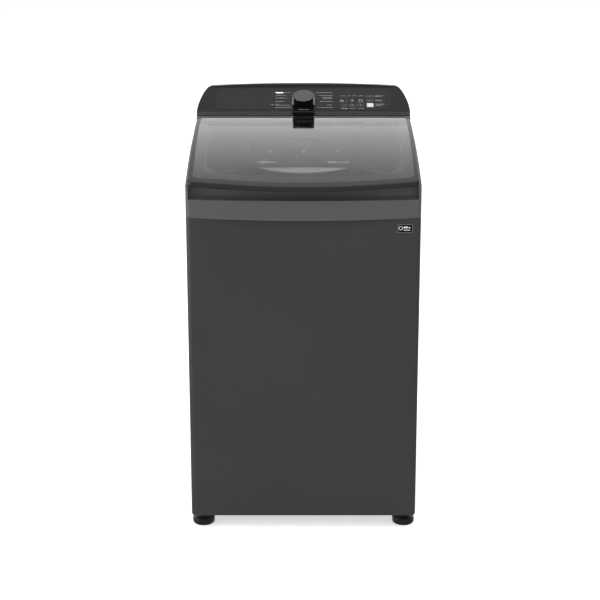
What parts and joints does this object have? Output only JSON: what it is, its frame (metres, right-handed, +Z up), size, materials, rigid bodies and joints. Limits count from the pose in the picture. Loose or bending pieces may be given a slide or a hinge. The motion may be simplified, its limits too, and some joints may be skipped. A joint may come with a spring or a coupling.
{
  "type": "top load washing machine",
  "caption": "Top load washing machine with a bowed glass lid, a sloping rear console with a central dial, a pull-out detergent drawer and an agitator tub.",
  "frame": {"origin": "on the floor, under the middle of the machine's bounding box", "axes": "+X to the machine's right as seen from the front, +Y to the rear, +Z up"},
  "size_m": [0.6, 0.66, 1.1245],
  "materials": {
    "cabinet_paint": "satin metallic graphite paint",
    "zinc_steel": "zinc coated sheet steel",
    "screw_steel": "zinc plated",
    "cover_plastic": "satin metallic graphite",
    "lid_plastic": "satin graphite",
    "lid_glass": "grey tinted tempered glass",
    "pin_steel": "ground",
    "console_plastic": "fine satin black",
    "overlay_film": "printed satin film",
    "black_gloss": "gloss",
    "black_matte": "matte",
    "knob_metal": "spun satin, dark anodised",
    "start_white": "satin light grey",
    "board_green": "solder mask",
    "tub_plastic": "light grey polypropylene",
    "drawer_plastic": "satin graphite",
    "spout_plastic": "light grey",
    "valve_plastic": "white nylon",
    "hose_rubber": "matte",
    "foot_rubber": "hard black plastic",
    "stainless": "perforated stainless steel",
    "ring_plastic": "light grey polypropylene",
    "agitator_plastic": "grey polypropylene",
    "filter_plastic": "darker grey",
    "cast_aluminium": "as cast",
    "motor_steel": "black enamel",
    "spring_steel": "coil spring",
    "badge": "black with a silver rim"
  },
  "bodies": {
    "cabinet": {"cabinet_wrap": "cabinet_paint", "rear_panel": "zinc_steel", "cabinet_screws": "screw_steel", "base_side_rails": "zinc_steel", "base_cross_rails": "zinc_steel", "foot_thread_plates": "zinc_steel", "foot_lock_nuts": "screw_steel", "top_corner_brackets": "zinc_steel", "top_cover": "cover_plastic", "lid_lock": "black_matte", "lid_bumpers": "hose_rubber", "hinge_brackets": "black_matte", "hinge_pins": "pin_steel", "console_housing": "console_plastic", "control_overlay": "overlay_film", "knob_hub": "black_gloss", "control_board": "board_green", "dispenser_housing": "tub_plastic", "dispenser_spout": "spout_plastic", "water_inlet_valves": "valve_plastic", "inlet_hoses": "hose_rubber", "drain_port": "black_matte", "cord_gland": "black_matte", "capacity_badge": "badge", "suspension_rods": "pin_steel"},
    "lid": {"lid_frame": "lid_plastic", "lid_glass": "lid_glass", "lid_rear_pad": "black_matte"},
    "cycle_knob": {"cycle_knob": "black_matte", "knob_face_disc": "knob_metal"},
    "drawer": {"dispenser_drawer": "drawer_plastic", "drawer_front": "drawer_plastic"},
    "suspended_tub": {"outer_tub": "tub_plastic", "tub_cover_ring": "ring_plastic", "suspension_springs": "spring_steel", "drive_mount_plate": "zinc_steel", "gearcase": "cast_aluminium", "drive_motor": "motor_steel", "drive_belt": "hose_rubber", "drain_pump": "black_matte", "sump_hose": "hose_rubber", "drain_hose": "hose_rubber"},
    "basket": {"wash_basket": "stainless", "balance_ring": "ring_plastic", "basket_hub": "cast_aluminium"},
    "agitator": {"agitator": "agitator_plastic", "drive_shaft": "pin_steel"},
    "lint_filter": {"lint_filter_cup": "filter_plastic"},
    "drive_pulley": {"drive_pulley": "cast_aluminium"},
    "motor_pulley": {"motor_pulley": "pin_steel"},
    "button_soil_level": {"button_soil_level": "overlay_film"},
    "button_water_temperature": {"button_water_temperature": "overlay_film"},
    "button_extra_rinse": {"button_extra_rinse": "overlay_film"},
    "button_power": {"button_power": "overlay_film"},
    "button_delay_start": {"button_delay_start": "overlay_film"},
    "button_start_pause": {"button_start_pause": "start_white"},
    "foot_front_left": {"foot_front_left": "foot_rubber"},
    "foot_front_right": {"foot_front_right": "foot_rubber"},
    "foot_rear_left": {"foot_rear_left": "foot_rubber"},
    "foot_rear_right": {"foot_rear_right": "foot_rubber"}
  },
  "joints": [
    {"name": "lid_hinge", "type": "hinge", "parent": "cabinet", "child": "lid", "pos_m": [0, 0.14, 1.0315], "axis": [-1, 0, 0], "range_deg": [0, 100]},
    {"name": "knob_turn", "type": "hinge", "parent": "cabinet", "child": "cycle_knob", "pos_m": [0, 0.19877, 1.08703], "axis": [0, -0.4695, 0.8829], "continuous": true},
    {"name": "drawer_slide", "type": "slide", "parent": "cabinet", "child": "drawer", "axis": [0, -1, 0], "range_m": [0, 0.1]},
    {"name": "tub_bounce", "type": "slide", "parent": "cabinet", "child": "suspended_tub", "axis": [0, 0, 1], "range_m": [-0.015, 0.01], "stiffness_N_per_m": 8000, "springref_m": 0.0502, "deforming": ["suspension_springs", "drain_hose"]},
    {"name": "basket_spin", "type": "hinge", "parent": "suspended_tub", "child": "basket", "pos_m": [0, 0, 0.5], "axis": [0, 0, 1], "continuous": true},
    {"name": "agitator_turn", "type": "hinge", "parent": "suspended_tub", "child": "agitator", "pos_m": [0, 0, 0.4], "axis": [0, 0, 1], "continuous": true},
    {"name": "lint_filter_lift", "type": "slide", "parent": "agitator", "child": "lint_filter", "axis": [0, 0, 1], "range_m": [0, 0.1]},
    {"name": "drive_pulley_spin", "type": "hinge", "parent": "suspended_tub", "child": "drive_pulley", "pos_m": [0, 0, 0.128], "axis": [0, 0, 1], "continuous": true},
    {"name": "motor_pulley_spin", "type": "hinge", "parent": "suspended_tub", "child": "motor_pulley", "pos_m": [-0.165, 0.062, 0.128], "axis": [0, 0, 1], "continuous": true},
    {"name": "soil_level_press", "type": "slide", "parent": "cabinet", "child": "button_soil_level", "axis": [0, 0.4695, -0.8829], "range_m": [0, 0.0012], "stiffness_N_per_m": 900, "springref_m": -0.0005},
    {"name": "water_temperature_press", "type": "slide", "parent": "cabinet", "child": "button_water_temperature", "axis": [0, 0.4695, -0.8829], "range_m": [0, 0.0012], "stiffness_N_per_m": 900, "springref_m": -0.0005},
    {"name": "extra_rinse_press", "type": "slide", "parent": "cabinet", "child": "button_extra_rinse", "axis": [0, 0.4695, -0.8829], "range_m": [0, 0.0012], "stiffness_N_per_m": 900, "springref_m": -0.0005},
    {"name": "power_press", "type": "slide", "parent": "cabinet", "child": "button_power", "axis": [0, 0.4695, -0.8829], "range_m": [0, 0.0012], "stiffness_N_per_m": 900, "springref_m": -0.0005},
    {"name": "delay_start_press", "type": "slide", "parent": "cabinet", "child": "button_delay_start", "axis": [0, 0.4695, -0.8829], "range_m": [0, 0.0012], "stiffness_N_per_m": 900, "springref_m": -0.0005},
    {"name": "start_pause_press", "type": "slide", "parent": "cabinet", "child": "button_start_pause", "axis": [0, 0.4695, -0.8829], "range_m": [0, 0.0012], "stiffness_N_per_m": 900, "springref_m": -0.0005},
    {"name": "foot_front_left_height", "type": "slide", "parent": "cabinet", "child": "foot_front_left", "axis": [0, 0, -1], "range_m": [0, 0.015]},
    {"name": "foot_front_right_height", "type": "slide", "parent": "cabinet", "child": "foot_front_right", "axis": [0, 0, -1], "range_m": [0, 0.015]},
    {"name": "foot_rear_left_height", "type": "slide", "parent": "cabinet", "child": "foot_rear_left", "axis": [0, 0, -1], "range_m": [0, 0.015]},
    {"name": "foot_rear_right_height", "type": "slide", "parent": "cabinet", "child": "foot_rear_right", "axis": [0, 0, -1], "range_m": [0, 0.015]}
  ],
  "couplings": [
    {"joint": "drive_pulley_spin", "follows": "agitator_turn", "ratio": 5.1},
    {"joint": "motor_pulley_spin", "follows": "agitator_turn", "ratio": 19.296}
  ]
}
